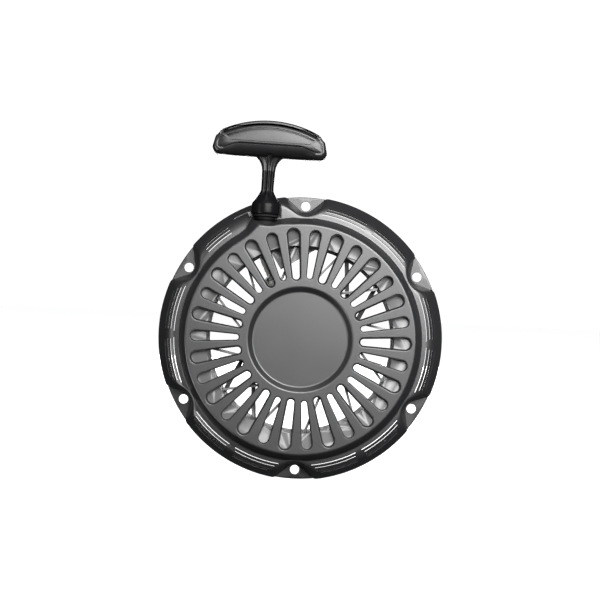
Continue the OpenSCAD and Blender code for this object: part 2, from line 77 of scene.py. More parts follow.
camera_distance = 0.880
camera_height = 0.0289
camera_side = -0.00135
roll = math.radians(2.46)
lens = bpy.data.cameras.new("camera")
lens.sensor_width = 36.0
lens.lens = 69.4
camera = bpy.data.objects.new("camera", lens)
scene.collection.objects.link(camera)
back = Vector((0, -1, 0))
up = Vector((-math.sin(roll), 0, math.cos(roll)))
side = up.cross(back)
camera.matrix_world = Matrix((side, up, back)).transposed().to_4x4()
camera.location = (camera_side, -camera_distance, camera_height)
scene.camera = camera


def soft_light(name, place, aim, width, height, watts):
    """A rectangular studio light."""
    lamp = bpy.data.lights.new(name, "AREA")
    lamp.shape = "RECTANGLE"
    lamp.size, lamp.size_y, lamp.energy = width, height, watts
    light = bpy.data.objects.new(name, lamp)
    scene.collection.objects.link(light)
    light.location = place
    light.rotation_euler = (Vector(aim) - Vector(place)).to_track_quat("-Z", "Y").to_euler()
    light.visible_camera = False
    return light


soft_light("key", (0.40, -1.28, 0.62), (0.02, 0, 0.03), 1.1, 1.0, 96)
soft_light("fill", (-1.1, -0.9, 0.4), (0, 0, 0), 0.5, 0.8, 5)
soft_light("left strip", (-0.9, -0.75, -0.5), (-0.06, 0, -0.05), 0.45, 0.8, 15)
soft_light("crown", (0.0, -0.45, 1.2), (0, 0, 0.1), 0.8, 0.3, 3)
soft_light("rear", (0.0, 1.7, 0.1), (0, 0, 0), 0.7, 0.7, 16)


def srgb(hex_code):
    """An sRGB hex colour as linear red, green, blue and alpha."""
    shares = [int(hex_code[i:i + 2], 16) / 255 for i in (1, 3, 5)]
    return [s / 12.92 if s <= 0.04045 else ((s + 0.055) / 1.055) ** 2.4 for s in shares] + [1.0]


def add_node(material, kind, links=None, **settings):
    """Adds a node with its settings; links maps an input's name or number to an output."""
    tree = material.node_tree
    node = tree.nodes.new(kind)
    for key, value in settings.items():
        if key in node.bl_rna.properties:
            setattr(node, key, value)
        else:
            node.inputs[key.replace("_", " ")].default_value = value
    for key, output in (links or {}).items():
        tree.links.new(output, node.inputs[key])
    return node


def new_material(name):
    """An empty node material and its output node."""
    material = bpy.data.materials.new(name)
    material.use_nodes = True
    material.node_tree.nodes.clear()
    return material, add_node(material, "ShaderNodeOutputMaterial")


def paper(name, hex_code, glow):
    """Pale stage surface that lights itself, so that it stays even."""
    material, output = new_material(name)
    surface = add_node(material, "ShaderNodeBsdfPrincipled", Roughness=0.9,
                       Base_Color=srgb(hex_code), Emission_Color=srgb("#FFFFFF"),
                       Emission_Strength=glow)
    material.node_tree.links.new(surface.outputs[0], output.inputs[0])
    return material


world = bpy.data.worlds.new("studio")
scene.world = world
world.use_nodes = True
world.node_tree.nodes["Background"].inputs[0].default_value = srgb("#8C8E92")
world.node_tree.nodes["Background"].inputs[1].default_value = 0.2

dome_mesh = bmesh.new()
bmesh.ops.create_uvsphere(dome_mesh, u_segments=48, v_segments=24, radius=9.0)
dome_data = bpy.data.meshes.new("backdrop")
dome_mesh.to_mesh(dome_data)
backdrop = bpy.data.objects.new("backdrop", dome_data)
dome_data.materials.append(paper("white backdrop", "#FFFFFF", 1.0))
floor_gap = 0.0005
floor_mesh = bmesh.new()
bmesh.ops.create_circle(floor_mesh, cap_ends=True, segments=96, radius=8.5)
bmesh.ops.translate(floor_mesh, verts=floor_mesh.verts, vec=(0, 0, cad_box[0].z - floor_gap))
floor_data = bpy.data.meshes.new("floor")
floor_mesh.to_mesh(floor_data)
floor = bpy.data.objects.new("floor", floor_data)
floor_data.materials.append(paper("pale paper floor", "#F2F2F0", 0.93))
for piece in (backdrop, floor):
    scene.collection.objects.link(piece)
    piece.visible_glossy = False
    piece.visible_diffuse = False

# ---------------------------------------------------------------------------------------------
# Cover. One round pressing of 1 mm steel sheet, powder coated black: a slotted face round a sunk
# panel, a stepped shoulder with rows of louvre slots, six screw scallops, and a raised outlet
# with a seat for the handle's collar. The wide slots have their edges rolled in.

cover_low, cover_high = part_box("housing")
bolts = next(m for m in frame["record"]["mounts"] if m["name"] == "engine_bolts")
MM = 1000.0
to_row = Matrix.Scale(1 / MM, 4) @ Matrix.Rotation(math.radians(90), 4, "X")
flange_r = cover_high.x * MM
face_z = -cover_low.y * MM
bolt_r = bolts["dims"]["pcd_mm"] / 2
bolt_hole_r = bolts["dims"]["hole_r_mm"]
bolt_count = bolts["dims"]["count"]
sheet = 1.0
face_r = bolt_r - 15.6
shoulder_z = face_z - 12.0
shoulder_r = face_r + 5.2
shoulder_round = 10.6
round_z = shoulder_z - shoulder_round
wall_slope = math.radians(70)
columns = 480
support = 0.35

outlet = Vector((-29.4, bolt_r - 11.0))
pull_tilt = math.radians(1.5)
pull = Vector((math.sin(pull_tilt), math.cos(pull_tilt)))
across = Vector((math.cos(pull_tilt), -math.sin(pull_tilt)))
rope_z = 27.75
seat_half = 12.2
seat_floor = 15.55

# How far the outlet's boss swells the face's edge, the foot of its step and the rounding of the
# shoulder, as (degrees, millimetres)
face_swell = [(96.0, 0.0), (102.0, 0.9), (107.0, 1.3), (109.5, 2.6), (112.2, 4.3), (114.7, 3.0),
              (118.5, 0.9), (123.0, 0.0)]
foot_swell = [(98.0, 0.0), (104.0, 0.2), (108.0, 1.2), (110.4, 3.6), (112.3, 8.6), (114.0, 7.2),
              (115.8, 4.8), (118.6, 1.2), (122.0, 0.0)]
round_swell = [(92.0, 0.0), (95.5, 2.0), (100.0, 5.6), (104.0, 6.6), (108.0, 6.6), (111.0, 4.0),
               (114.0, 0.0)]


def eased(points, x):
    """Value at x on a smooth curve through a few points, flat outside them."""
    if x <= points[0][0] or x >= points[-1][0]:
        return 0.0
    i = max(k for k in range(len(points)) if points[k][0] <= x)
    (x1, y1), (x2, y2) = points[i], points[i + 1]
    before, after = points[max(i - 1, 0)], points[min(i + 2, len(points) - 1)]
    m1 = (y2 - before[1]) / (x2 - before[0])
    m2 = (after[1] - y1) / (after[0] - x1)
    t, w = (x - x1) / (x2 - x1), x2 - x1
    return ((1 + 2 * t) * (1 - t) ** 2 * y1 + t * (1 - t) ** 2 * w * m1
            + t * t * (3 - 2 * t) * y2 + t * t * (t - 1) * w * m2)


def bend(centre, radius, start, end, steps):
    """Points round an arc, angles in degrees."""
    angles = [math.radians(start + (end - start) * i / steps) for i in range(steps + 1)]
    return [(centre[0] + radius * math.cos(a), centre[1] + radius * math.sin(a)) for a in angles]


# Section rows from the face's edge down to the flange, as (radius, height)
step_lean = math.degrees(math.atan2(face_z - shoulder_z, shoulder_r - face_r))
edge_round, valley_round, foot_round = 1.8, 1.2, 0.7
louvre_angles = (13.0, 28.0, 43.0, 58.0)
louvre_half = (0.48, 0.58, 0.68, 0.74)
louvre_span = (22.5, 21.2, 19.9, 18.5)
louvre_gap = (1.8, 2.0, 2.2, 2.5)
edge_tangent = edge_round * math.tan(math.radians(step_lean) / 2)
valley_tangent = valley_round * math.tan(math.radians(step_lean) / 2)
face_edge = bend((face_r - edge_tangent, face_z - edge_round), edge_round, 90, 90 - step_lean, 5)
valley = bend((shoulder_r + valley_tangent, shoulder_z + valley_round), valley_round,
              270 - step_lean, 270, 4)
fillet_marks = [0.0]
for angle, half in zip(louvre_angles, louvre_half):
    spread = math.degrees(half / shoulder_round)
    fillet_marks += [angle - spread, angle + spread]
fillet_marks.append(70.0)
fillet = [(shoulder_r + 1.6 + shoulder_round * math.sin(math.radians(m)),
           round_z + shoulder_round * math.cos(math.radians(m))) for m in fillet_marks]
wall_top = fillet[-1]


def wall_radius(z):
    """Radius of the plain outer wall or its rounding at a height."""
    if z <= wall_top[1]:
        return wall_top[0] + (wall_top[1] - z) / math.tan(wall_slope)
    if z < shoulder_z:
        return shoulder_r + 1.6 + math.sqrt(shoulder_round ** 2 - (z - round_z) ** 2)
    return shoulder_r + 1.6


wall = [(wall_radius(z), z) for z in (17.4, 16.6, 16.05, 15.6, 15.3, 13.0, 10.0, 7.0, 4.5, 3.0)]
foot = [(wall_radius(sheet + foot_round * (1 - math.cos(math.radians(a)))),
         sheet + foot_round * (1 - math.sin(math.radians(a)))) for a in (20, 55, 90)]
foot_r = foot[-1][0]
rim_shares = (0.04, 0.3, 0.6, 0.85, 1.0)
flange = [(foot_r + (flange_r - 0.5 - foot_r) * share, sheet) for share in rim_shares]
rim = [(flange_r - 0.2, sheet - 0.1), (flange_r, sheet - 0.35)]
section = ([(face_edge[0][0] - support, face_z)] + face_edge + valley + fillet + wall + foot
           + flange + rim)
foot_row = len(section) - len(rim) - len(flange) - 1
louvre_rows = [section.index(fillet[1 + 2 * i]) for i in range(4)]
first_round, last_round = section.index(fillet[0]), section.index(fillet[-1])

# A scallop in plan: a round bottom between two straight sides, wider towards the shoulder
scallop_r, scallop_half, scallop_centre = 7.2, math.radians(50), bolt_r + 3.0
scallop_draft = math.tan(math.radians(11.6))


def scallop_edge(angle, z):
    """Radius at which a scallop's wall stands, for an angle off the scallop's middle."""
    grown = scallop_r + (z - sheet) * scallop_draft
    reach = scallop_centre * math.sin(angle)
    if abs(reach) < grown:
        near = scallop_centre * math.cos(angle) - math.sqrt(grown ** 2 - reach ** 2)
        x, y = near * math.cos(angle), abs(near * math.sin(angle))
        if y <= grown * math.cos(scallop_half) * 1.001 and x < scallop_centre:
            return near
    lean = math.sin(scallop_half) * math.cos(angle) - math.cos(scallop_half) * abs(math.sin(angle))
    return (scallop_centre * math.sin(scallop_half) - grown) / lean if lean > 0.02 else 1e3


def softer_min(a, b, blend):
    """The lesser of two radii, rounded where they cross."""
    share = max(0.0, min(1.0, 0.5 + 0.5 * (b - a) / blend))
    return b * (1 - share) + a * share - blend * share * (1 - share)


def cover_place(row, theta):
    """Radius and height of a section row at an angle round the cover."""
    if row > foot_row + len(flange):
        return section[row]
    if row > foot_row:
        near = cover_place(foot_row, theta)[0]
        return near + (flange_r - 0.5 - near) * rim_shares[row - foot_row - 1], sheet
    r, z = section[row]
    degrees = math.degrees(theta) % 360
    boss = eased(foot_swell, degrees)
    if row < first_round:
        down = (face_z - z) / (face_z - shoulder_z)
        r += eased(face_swell, degrees) * (1 - down) + boss * down
    elif z > round_z - 1:
        down = (row - first_round) / (last_round - first_round)
        r += eased(round_swell, degrees) * max(1 - down * down, 0)
        if boss > 0:
            r = max(r, shoulder_r + 1.6 + boss + 0.15 * (row - first_round))
            fall = min(max(r - shoulder_r - 1.6 - eased(round_swell, degrees), 0), shoulder_round)
            z = min(z, round_z + math.sqrt(shoulder_round ** 2 - fall ** 2))
    ear = round((degrees - 90) / (360 / bolt_count)) * (360 / bolt_count) + 90
    off = math.radians((degrees - ear + 180) % 360 - 180)
    if row > len(face_edge) + 1 and abs(off) < math.radians(16):
        stand = scallop_edge(off, max(z, sheet))
        r = softer_min(r, stand, 0.8 + 0.16 * (z - sheet))
    ray = Vector((math.cos(theta), math.sin(theta)))
    if z > seat_floor + 0.2 and ray.dot(pull) > 0.5 and row > len(face_edge):
        hit = outlet.dot(pull) / ray.dot(pull)
        aside = abs((ray * hit - outlet).dot(across))
        if aside < seat_half and r > hit:
            r = hit
    return r, z


def spin_section(bm, points):
    """Turns a section, given as (radius, height), into a surface of revolution."""
    verts = [bm.verts.new((r, 0, z)) for r, z in points]
    edges = [bm.edges.new(pair) for pair in zip(verts, verts[1:])]
    bmesh.ops.spin(bm, geom=verts + edges, cent=(0, 0, 0), axis=(0, 0, 1),
                   angle=math.tau, steps=columns, use_merge=True)


cover = bmesh.new()
outward = cover.verts.layers.float_vector.new("outward")
spin_section(cover, section)
rows = {v: min(range(len(section)), key=lambda i: math.hypot(
    math.hypot(v.co.x, v.co.y) - section[i][0], v.co.z - section[i][1])) for v in cover.verts}


def in_louvre(face):
    """Whether a face of the rounding lies in a louvre slot."""
    row = min(rows[v] for v in face.verts)
    if row not in louvre_rows or max(rows[v] for v in face.verts) != row + 1:
        return False
    i = louvre_rows.index(row)
    degrees = math.degrees(math.atan2(face.calc_center_median().y, face.calc_center_median().x))
    if 90 < degrees % 360 < 150:
        return 125 + i * 0.3 < degrees % 360 < 139 - i * 0.5
    off = min(degrees % 60, 60 - degrees % 60)
    return louvre_gap[i] < off < louvre_span[i]


bmesh.ops.delete(cover, geom=[f for f in cover.faces if in_louvre(f)], context="FACES_ONLY")
for v in cover.verts:
    angle = math.atan2(v.co.y, v.co.x)
    r, z = cover_place(rows[v], angle)
    v.co = (r * math.cos(angle), r * math.sin(angle), z)
face_loop = [e for e in cover.edges if all(rows[v] == 0 for v in e.verts)]

# Sunk centre panel and the rounded step round it
panel_r, panel_z = 38.1, face_z - 3.0
panel_step = (
    [(panel_r - 4.2, panel_z), (panel_r - 3.6, panel_z)]
    + bend((panel_r - 3.6, panel_z + 1.2), 1.2, 290, 324, 4)
    + bend((panel_r + 0.9, face_z - 1.7), 1.7, 144, 90, 5)
    + [(panel_r + 0.9 + support, face_z)]
)
before = set(cover.verts)
spin_section(cover, panel_step)
new_edges = [e for e in cover.edges if e.is_boundary and not (set(e.verts) & before)]
panel_loop = [e for e in new_edges if abs(e.verts[0].co.z - panel_z) < 0.01]
ring_loop = [e for e in new_edges if abs(e.verts[0].co.z - face_z) < 0.01]


def slot_loop(bm, turn, far, near, far_r, near_r):
    """Outline of a slot, wider at its outer end: a circle pulled apart along the radius."""
    taper = (far_r - near_r) / (far - near)
    made = bmesh.ops.create_circle(bm, cap_ends=False, segments=36, radius=1.0)["verts"]
    spin = Matrix.Rotation(turn, 3, "Z")
    for v in made:
        way = Vector((v.co.x, v.co.y, 0)).normalized()
        middle, r = (far, far_r) if way.x > -taper + 0.001 else (near, near_r)
        v.co = spin @ (Vector((middle, 0, 0)) + way * (r + support)) + Vector((0, 0, face_z))
        v[outward] = spin @ way
    return [e for e in bm.edges if e.verts[0] in made and e.verts[1] in made]


def roll_in(bm, edges, path):
    """Carries an open edge along a path of (inwards, down) distances."""
    last = (0.0, 0.0)
    for inwards, down in path:
        grown = bmesh.ops.extrude_edge_only(bm, edges=edges)["geom"]
        edges = [g for g in grown if isinstance(g, bmesh.types.BMEdge)]
        for v in (g for g in grown if isinstance(g, bmesh.types.BMVert)):
            v.co -= v[outward] * (inwards - last[0])
            v.co.z -= down - last[1]
        last = (inwards, down)


slot_pairs = 15
wide_far, wide_near, wide_far_r, wide_near_r = 76.5, 46.5, 5.45, 3.9
narrow_far, narrow_near, narrow_far_r, narrow_near_r = 76.3, 46.9, 4.6, 2.85
lip, lip_round, lip_lean = 1.45, 0.6, 68
lip_path = [(support, 0.0)] + [
    (support + lip_round * math.sin(math.radians(a)), lip_round * (1 - math.cos(math.radians(a))))
    for a in (17, 34, 51, lip_lean)] + [(support + lip, 2.6)]
slot_edges = []
for i in range(slot_pairs):
    turn = math.tau * i / slot_pairs
    loop = slot_loop(cover, turn, wide_far, wide_near, wide_far_r, wide_near_r)
    slot_edges += loop
    roll_in(cover, loop, lip_path)
    turn += math.pi / slot_pairs
    loop = slot_loop(cover, turn, narrow_far, narrow_near, narrow_far_r, narrow_near_r)
    slot_edges += loop
    roll_in(cover, loop, [(support, 0.0), (support + 0.14, 0.03), (support + 0.26, 0.16),
                          (support + 0.34, 0.36), (support + 0.9, 1.7)])

bmesh.ops.triangle_fill(cover, use_beauty=True, edges=panel_loop, normal=(0, 0, 1))
bmesh.ops.triangle_fill(cover, use_beauty=True, edges=face_loop + ring_loop + slot_edges,
                        normal=(0, 0, 1))

# Screw holes: a patch of the flange at each ear is taken out and filled again round the hole
ear_span = math.radians(3.4)
for i in range(bolt_count):
    turn = math.radians(90 + 60 * i)
    patch = [f for f in cover.faces if all(foot_row < rows.get(v, 0) <= foot_row + len(flange)
             and abs((math.atan2(v.co.y, v.co.x) - turn + math.pi) % math.tau - math.pi) < ear_span
             for v in f.verts)]
    ring = {e for f in patch for e in f.edges if sum(g in patch for g in e.link_faces) == 1}
    bmesh.ops.delete(cover, geom=patch, context="FACES")
    ring = [e for e in ring if e.is_valid]
    place = Matrix.Rotation(turn, 4, "Z") @ Matrix.Translation((bolt_r, 0, sheet))
    made = bmesh.ops.create_circle(cover, cap_ends=False, segments=40, radius=bolt_hole_r,
                                   matrix=place)["verts"]
    hole = [e for e in cover.edges if e.verts[0] in made and e.verts[1] in made]
    bmesh.ops.triangle_fill(cover, use_beauty=True, edges=ring + hole, normal=(0, 0, 1))
bmesh.ops.recalc_face_normals(cover, faces=cover.faces)
top = max(cover.faces, key=lambda f: f.calc_center_median().z)
if top.normal.z < 0:
    bmesh.ops.reverse_faces(cover, faces=cover.faces)


def make_piece(bm, name):
    """A mesh object in the row's frame from a bmesh worked in millimetres."""
    bm.transform(to_row)
    data = bpy.data.meshes.new(name)
    bm.to_mesh(data)
    bm.free()
    piece = bpy.data.objects.new(name, data)
    scene.collection.objects.link(piece)
    return piece


def settle(piece, crease=35.0):
    """Applies a piece's modifiers and shades it smooth, with sharp edges above an angle."""
    graph = bpy.context.evaluated_depsgraph_get()
    data = bpy.data.meshes.new_from_object(piece.evaluated_get(graph))
    piece.modifiers.clear()
    piece.data = data
    data.shade_smooth()
    data.set_sharp_from_angle(angle=math.radians(crease))
    return piece


cover_shell = make_piece(cover, "cover_shell")
walls = cover_shell.modifiers.new("sheet", "SOLIDIFY")
walls.thickness = sheet / MM
walls.offset = -1.0
walls.use_even_offset = False
settle(cover_shell)


def powder_coat():
    """Black powder coat on steel: satin, with a fine orange peel and a little uneven gloss."""
    material, output = new_material("black powder coated steel")
    place = add_node(material, "ShaderNodeTexCoord")
    peel = add_node(material, "ShaderNodeTexNoise", {"Vector": place.outputs["Object"]},
                    Scale=1 / 0.0011, Detail=2.0, Roughness=0.5)
    cloud = add_node(material, "ShaderNodeTexNoise", {"Vector": place.outputs["Object"]},
                     Scale=1 / 0.03, Detail=3.0, Roughness=0.6)
    gloss = add_node(material, "ShaderNodeMapRange", {"Value": cloud.outputs["Fac"]},
                     To_Min=0.34, To_Max=0.43)
    tone = add_node(material, "ShaderNodeMix", {"Factor": cloud.outputs["Fac"]}, data_type="RGBA")
    tone.inputs[6].default_value = srgb("#141415")
    tone.inputs[7].default_value = srgb("#1A1A1B")
    bump = add_node(material, "ShaderNodeBump", {"Height": peel.outputs["Fac"]},
                    Strength=0.12, Distance=0.00006)
    surface = add_node(material, "ShaderNodeBsdfPrincipled",
                       {"Base Color": tone.outputs[2], "Roughness": gloss.outputs[0],
                        "Normal": bump.outputs[0]}, IOR=1.5)
    material.node_tree.links.new(surface.outputs[0], output.inputs[0])
    return material


black_coat = powder_coat()


def dress(piece, material, body, slot, *nodes):
    """Gives a piece its material and body, and hides the CAD nodes it stands for."""
    piece.data.materials.clear()
    piece.data.materials.append(material)
    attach(piece, body)
    if nodes:
        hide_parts(*nodes)


dress(cover_shell, black_coat, "cover", "black_paint", "housing")

# ---------------------------------------------------------------------------------------------
# Handle. A T-grip moulded in black nylon: a rounded cross bar with a snapped-in crown cap, and a
# ribbed stem that widens to a cone and a round collar, which rests against the cover's outlet.

half_w = 42.0
crown_v = 69.8
bar_v = 43.3
arch_r = 79.5
half_t = 10.4
cap_t = 3.2
cap_reach = 35.6
corner_r = 5.6


def in_outlet(u, v, d):
    """A place given across the outlet, along the pull and towards the face."""
    spot = outlet + across * u + pull * v
    return Vector((spot.x, spot.y, rope_z + d))


def arch(u):
    """Height of the handle's crown line."""
    return crown_v - arch_r + math.sqrt(arch_r ** 2 - u * u)


def even_steps(points, count):
    """Resamples a closed outline in even steps."""
    points = [Vector(p) for p in points]
    ends = points[1:] + points[:1]
    lengths = [(b - a).length for a, b in zip(points, ends)]
    whole, out, done, i = sum(lengths), [], 0.0, 0
    for k in range(count):
        target = whole * k / count
        while done + lengths[i] < target:
            done += lengths[i]
            i += 1
        out.append(points[i].lerp(ends[i], (target - done) / lengths[i]))
    return out


def carry(bm, edges, place):
    """Extrudes an open ring once and sets each new vertex by its station."""
    grown = bmesh.ops.extrude_edge_only(bm, edges=edges)["geom"]
    station = bm.verts.layers.int["station"]
    for v in grown:
        if isinstance(v, bmesh.types.BMVert):
            v.co = place(v[station])
    return [g for g in grown if isinstance(g, bmesh.types.BMEdge)]


def first_ring(bm, count, place):
    """A closed ring of numbered vertices, each set by its station."""
    station = bm.verts.layers.int.get("station") or bm.verts.layers.int.new("station")
    ring = bmesh.ops.create_circle(bm, cap_ends=False, segments=count, radius=1.0)["verts"]
    for i, v in enumerate(ring):
        v[station] = i
        v.co = place(i)
    return [e for e in bm.edges if e.verts[0] in ring and e.verts[1] in ring]


def rounded_slab(bm, outline, rounding, depth, dish):
    """A slab with rounded edges: each station's rounding is its own; dish shapes the two faces."""
    count = len(outline)
    normals = []
    for i, p in enumerate(outline):
        way = (outline[(i + 1) % count] - outline[i - 1]).normalized()
        normals.append(Vector((way.y, -way.x)))
    heart = sum(outline, Vector((0, 0))) / count
    for face in (1, -1):
        def edge(i, degrees, face=face):
            r = rounding[i]
            spot = outline[i] - normals[i] * r * (1 - math.cos(math.radians(degrees)))
            return in_outlet(spot.x, spot.y,
                             face * (depth - r * (1 - math.sin(math.radians(degrees)))))
        def inner(i, share, raised, groove, face=face):
            spot = outline[i] - normals[i] * rounding[i]
            core = Vector((spot.x * 0.8, heart.y + (spot.y - heart.y) * 0.12))
            cut = groove * max(0.0, min(1.0, (outline[i].y - heart.y + 3.0) / 5.0))
            spot = spot.lerp(core, share)
            return in_outlet(spot.x, spot.y, face * (depth + raised - cut))
        if face == 1:
            start = first_ring(bm, count, lambda i: edge(i, 0))
            edges = start
        else:
            edges = carry(bm, start, lambda i: edge(i, 0))
        for degrees in (18, 36, 54, 72, 90):
            edges = carry(bm, edges, lambda i: edge(i, degrees))
        for share, raised, groove in dish:
            edges = carry(bm, edges, lambda i: inner(i, share, raised, groove))
        bmesh.ops.edgeloop_fill(bm, edges=edges)


def bar_points(top):
    """Outline of the cross bar, anticlockwise from the middle of its underside."""
    right = bend((half_w - corner_r, bar_v + corner_r), corner_r, -90, -4, 6)
    shoulder = bend((half_w - 5.2, bar_v + 11.2), 3.6, 8, 62, 5)
    upper = [(u, top(u)) for u in [36.2 - 72.4 * i / 90 for i in range(91)]]
    flip = [(-u, v) for u, v in reversed(right + shoulder)]
    return [(0, bar_v)] + right + shoulder + upper + flip


def body_top(u):
    """Top of the bar's body: the crown line at the ends, and lower where the cap sits."""
    share = max(0.0, min(1.0, (cap_reach + 0.4 - abs(u)) / 1.4))
    return arch(u) - 0.1 - share * (cap_t - 0.3)


grip = bmesh.new()
outline = even_steps(bar_points(body_top), 240)
low_round = []
for p in outline:
    share = max(0.0, min(1.0, (p.y - bar_v) / 12.0))
    end = max(0.0, min(1.0, (abs(p.x) - 24.0) / 11.0))
    low = 8.2 + (4.4 - 8.2) * end * end * (3 - 2 * end)
    low_round.append(low + (2.4 - low) * share * share * (3 - 2 * share))
rounded_slab(grip, outline, low_round, half_t,
             [(0.03, -0.1, 0.15), (0.07, -0.1, 0.2), (0.11, 0.0, 0.1), (0.16, 0.1, 0.0),
              (0.3, 0.35, 0.0), (0.5, 0.6, 0.0), (0.7, 0.75, 0.0), (0.85, 0.82, 0.0),
              (0.97, 0.84, 0.0)])

# Stem, cone and collar: (along the pull, half width, half depth, roundness)
flare_r, stem_top = 12.0, bar_v + 2.5
stem_rows = [(1.8, 9.9, 9.9, 1), (1.8, 10.7, 10.7, 1), (2.1, 10.95, 10.95, 1),
             (3.0, 11.0, 11.0, 1), (7.6, 10.9, 10.9, 1), (9.4, 10.65, 10.65, 1),
             (10.3, 10.1, 10.1, 1), (11.4, 9.2, 9.2, 1), (13.2, 7.9, 7.9, 0.95),
             (15.2, 6.7, 6.7, 0.75), (17.0, 5.7, 5.7, 0.4), (18.4, 5.0, 5.0, 0.1),
             (19.6, 4.65, 4.75, 0.0), (22.0, 4.6, 4.7, 0.0), (28.0, 4.7, 4.8, 0.0),
             (stem_top - flare_r, 4.95, 5.0, 0.0)]
for degrees in range(12, 91, 13):
    a = math.radians(degrees)
    wide = 4.95 + flare_r * (1 - math.cos(a))
    stem_rows.append((stem_top - flare_r + flare_r * math.sin(a), wide,
                      5.0 + 4.0 * (1 - math.cos(a)), 0.5 * (1 - math.cos(a))))
rib_shape = [(0, 1.0), (7, 0.98), (13, 0.64), (22, 0.57), (34, 0.62), (43, 0.84), (49, 0.95),
             (62, 0.98), (90, 1.0)]


def ribbed(degrees):
    """Share of the stem's radius at an angle from its front."""
    a = abs((degrees + 90) % 180 - 90)
    i = max(k for k in range(len(rib_shape) - 1) if rib_shape[k][0] <= a)
    (a1, r1), (a2, r2) = rib_shape[i], rib_shape[i + 1]
    return r1 + (r2 - r1) * (a - a1) / (a2 - a1)


def stem_place(row, i, count=120):
    """Place of a station on a row of the stem."""
    v, wide, thick, roundness = stem_rows[row]
    degrees = 360 * i / count
    share = roundness + (1 - roundness) * ribbed(degrees)
    return in_outlet(wide * share * math.sin(math.radians(degrees)), v,
                     thick * share * math.cos(math.radians(degrees)))


first = first_ring(grip, 120, lambda i: stem_place(0, i))
bmesh.ops.edgeloop_fill(grip, edges=first)
ring = first
for row in range(1, len(stem_rows)):
    ring = carry(grip, ring, lambda i: stem_place(row, i))
bmesh.ops.edgeloop_fill(grip, edges=ring)
bmesh.ops.recalc_face_normals(grip, faces=grip.faces)
handle = settle(make_piece(grip, "handle_grip"), 48)

cap = bmesh.new()
top_line = [(u, arch(u)) for u in [cap_reach - 2 * cap_reach * i / 70 for i in range(71)]]
under_line = [(u, arch(u) - cap_t) for u, _ in reversed(top_line)]
cap_outline = even_steps([Vector(p) for p in top_line + under_line], 200)
rounded_slab(cap, cap_outline, [1.1 if p.y < arch(p.x) - 1.7 else 1.6 for p in cap_outline],
             half_t - 0.9, [(0.97, 0.0, 0.0)])
bmesh.ops.recalc_face_normals(cap, faces=cap.faces)
handle_cap = settle(make_piece(cap, "handle_cap"), 32)


def moulded(name, dark, light, rough_low, rough_high, grain_mm, grain_depth, shine=0.5):
    """Moulded plastic: smooth skin with faint flow marks and the fine texture of its mould."""
    material, output = new_material(name)
    place = add_node(material, "ShaderNodeTexCoord")
    flow = add_node(material, "ShaderNodeTexNoise", {"Vector": place.outputs["Object"]},
                    Scale=1 / 0.018, Detail=4.0, Roughness=0.55, Distortion=0.8)
    gloss = add_node(material, "ShaderNodeMapRange", {"Value": flow.outputs["Fac"]},
                     To_Min=rough_low, To_Max=rough_high)
    tone = add_node(material, "ShaderNodeMix", {"Factor": flow.outputs["Fac"]}, data_type="RGBA")
    tone.inputs[6].default_value = srgb(dark)
    tone.inputs[7].default_value = srgb(light)
    grain = add_node(material, "ShaderNodeTexNoise", {"Vector": place.outputs["Object"]},
                     Scale=1000 / grain_mm, Detail=2.0)
    bump = add_node(material, "ShaderNodeBump", {"Height": grain.outputs["Fac"]},
                    Strength=0.2, Distance=grain_depth)
    surface = add_node(material, "ShaderNodeBsdfPrincipled",
                       {"Base Color": tone.outputs[2], "Roughness": gloss.outputs[0],
                        "Normal": bump.outputs[0]}, IOR=1.53, Specular_IOR_Level=shine)
    material.node_tree.links.new(surface.outputs[0], output.inputs[0])
    return material


grip_nylon = moulded("moulded black nylon", "#0C0C0D", "#121213", 0.3, 0.4, 0.9, 0.00004, 0.26)
# The stem and collar get a darker, glossier copy of the grip's nylon: its darker colour is painted
# shade, for how dark they sit in the light
stem_shade_nylon = moulded("black nylon with painted shade", "#070708", "#0A0A0B", 0.22, 0.3, 0.9, 0.00002,
                         0.05)
dress(handle, grip_nylon, "handle", "grip_plastic", "grip_body")
handle.data.materials.append(stem_shade_nylon)
stem_end = (to_row @ in_outlet(0, stem_top - flare_r, 0)).z
# Faces below the stem's top take the copy with painted shade
for face in handle.data.polygons:
    face.material_index = int(face.center.z < stem_end)
dress(handle_cap, grip_nylon, "handle", "grip_plastic", "grip_cap")

# ---------------------------------------------------------------------------------------------
# Reel. One moulding of dark grey glass-filled nylon: a grooved rim that holds the rope, thin
# ribs across to the spring drum, and the cup that the rope's knot sits in. It turns on the post.


def softened(node, name, width, crease=30.0):
    """A clean copy of a CAD node's mesh with its edges rounded."""
    data = frame["nodes"][node].data.copy()
    bm = bmesh.new()
    bm.from_mesh(data)
    bmesh.ops.remove_doubles(bm, verts=bm.verts, dist=0.00001)
    bmesh.ops.dissolve_limit(bm, angle_limit=math.radians(1.0), verts=bm.verts, edges=bm.edges)
    bm.to_mesh(data)
    bm.free()
    data.materials.clear()
    piece = bpy.data.objects.new(name, data)
    scene.collection.objects.link(piece)
    if width:
        rounding = piece.modifiers.new("edges", "BEVEL")
        rounding.width = width / MM
        rounding.segments = 2
        rounding.limit_method = "ANGLE"
        rounding.angle_limit = math.radians(crease)
    settle(piece, crease)
    piece.modifiers.new("even normals", "WEIGHTED_NORMAL").keep_sharp = True
    return piece


reel_nylon = moulded("glass filled grey nylon", "#383838", "#434343", 0.4, 0.5, 0.7, 0.00005)
dress(softened("reel", "rope_reel", 0.35), reel_nylon, "reel", "reel_nylon", "reel")

# ---------------------------------------------------------------------------------------------
# Spring drum and hub. The recoil spring lies in the drum under a thin steel cover held by three
# screws, and hooks on to the post that is riveted to the cover's centre panel.


